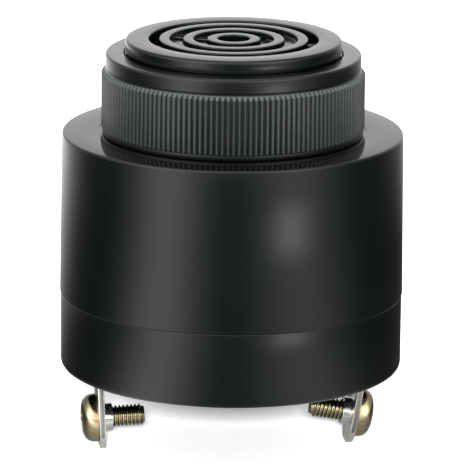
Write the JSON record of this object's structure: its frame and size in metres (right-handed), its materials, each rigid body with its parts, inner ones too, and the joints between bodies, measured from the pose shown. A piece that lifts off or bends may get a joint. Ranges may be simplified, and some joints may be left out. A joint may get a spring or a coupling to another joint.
{
  "type": "electronic buzzer",
  "caption": "Panel-mount piezo buzzer: round black housing with a threaded neck, knurled ring nut, ringed grille and screw terminals.",
  "frame": {"origin": "on the axis, in the plane of the shoulder land that lies against the panel", "axes": "+Z out through the grille, X through the two screw terminals with terminal_right at +X, +Y to the back of the picture's view"},
  "size_m": [0.0437, 0.0438, 0.0532],
  "materials": {
    "black_moulding": "black moulded plastic, semi-gloss",
    "nut_moulding": "black moulded plastic, satin, straight knurl",
    "tinned_brass": "bright tin plate on brass strip",
    "yellow_zinc": "yellow chromated zinc plate on steel",
    "brass_sheet": "rolled brass sheet",
    "piezo_ceramic": "silvered ceramic",
    "soft_ring": "grey silicone rubber",
    "spacer_moulding": "natural moulded plastic",
    "board_laminate": "phenolic paper laminate",
    "epoxy_black": "black moulded epoxy",
    "ferrite": "dark sintered ferrite",
    "copper_wire": "enamelled copper wire",
    "can_sleeve": "dark blue shrink sleeve",
    "dipped_ceramic": "ochre dipped coating",
    "resistor_lacquer": "beige lacquer",
    "red_insulation": "red insulation",
    "blue_insulation": "blue insulation",
    "black_insulation": "black insulation"
  },
  "bodies": {
    "root": {"housing": "black_moulding", "back_cover": "black_moulding", "terminal_left": "tinned_brass", "terminal_right": "tinned_brass", "brass_diaphragm": "brass_sheet", "ceramic_disc": "piezo_ceramic", "diaphragm_mount": "soft_ring", "spacer_tube": "spacer_moulding", "circuit_board": "board_laminate", "transistor": "epoxy_black", "choke_core": "ferrite", "choke_winding": "copper_wire", "reservoir_capacitor": "can_sleeve", "ceramic_capacitor": "dipped_ceramic", "drive_resistor": "resistor_lacquer", "feedback_resistor": "resistor_lacquer", "protection_diode": "epoxy_black", "drive_lead": "red_insulation", "feedback_lead": "blue_insulation", "common_lead": "black_insulation"},
    "ring_nut": {"ring_nut": "nut_moulding"},
    "screw_left": {"terminal_screw_left": "yellow_zinc"},
    "screw_right": {"terminal_screw_right": "yellow_zinc"}
  },
  "joints": [
    {"name": "nut_travel", "type": "slide", "parent": "root", "child": "ring_nut", "axis": [0, 0, 1], "range_m": [0, 0.0126]},
    {"name": "screw_left_travel", "type": "slide", "parent": "root", "child": "screw_left", "axis": [-0.9986, 0, -0.0523], "range_m": [0, 0.004]},
    {"name": "screw_right_travel", "type": "slide", "parent": "root", "child": "screw_right", "axis": [0.9848, 0, -0.1736], "range_m": [0, 0.004]}
  ]
}
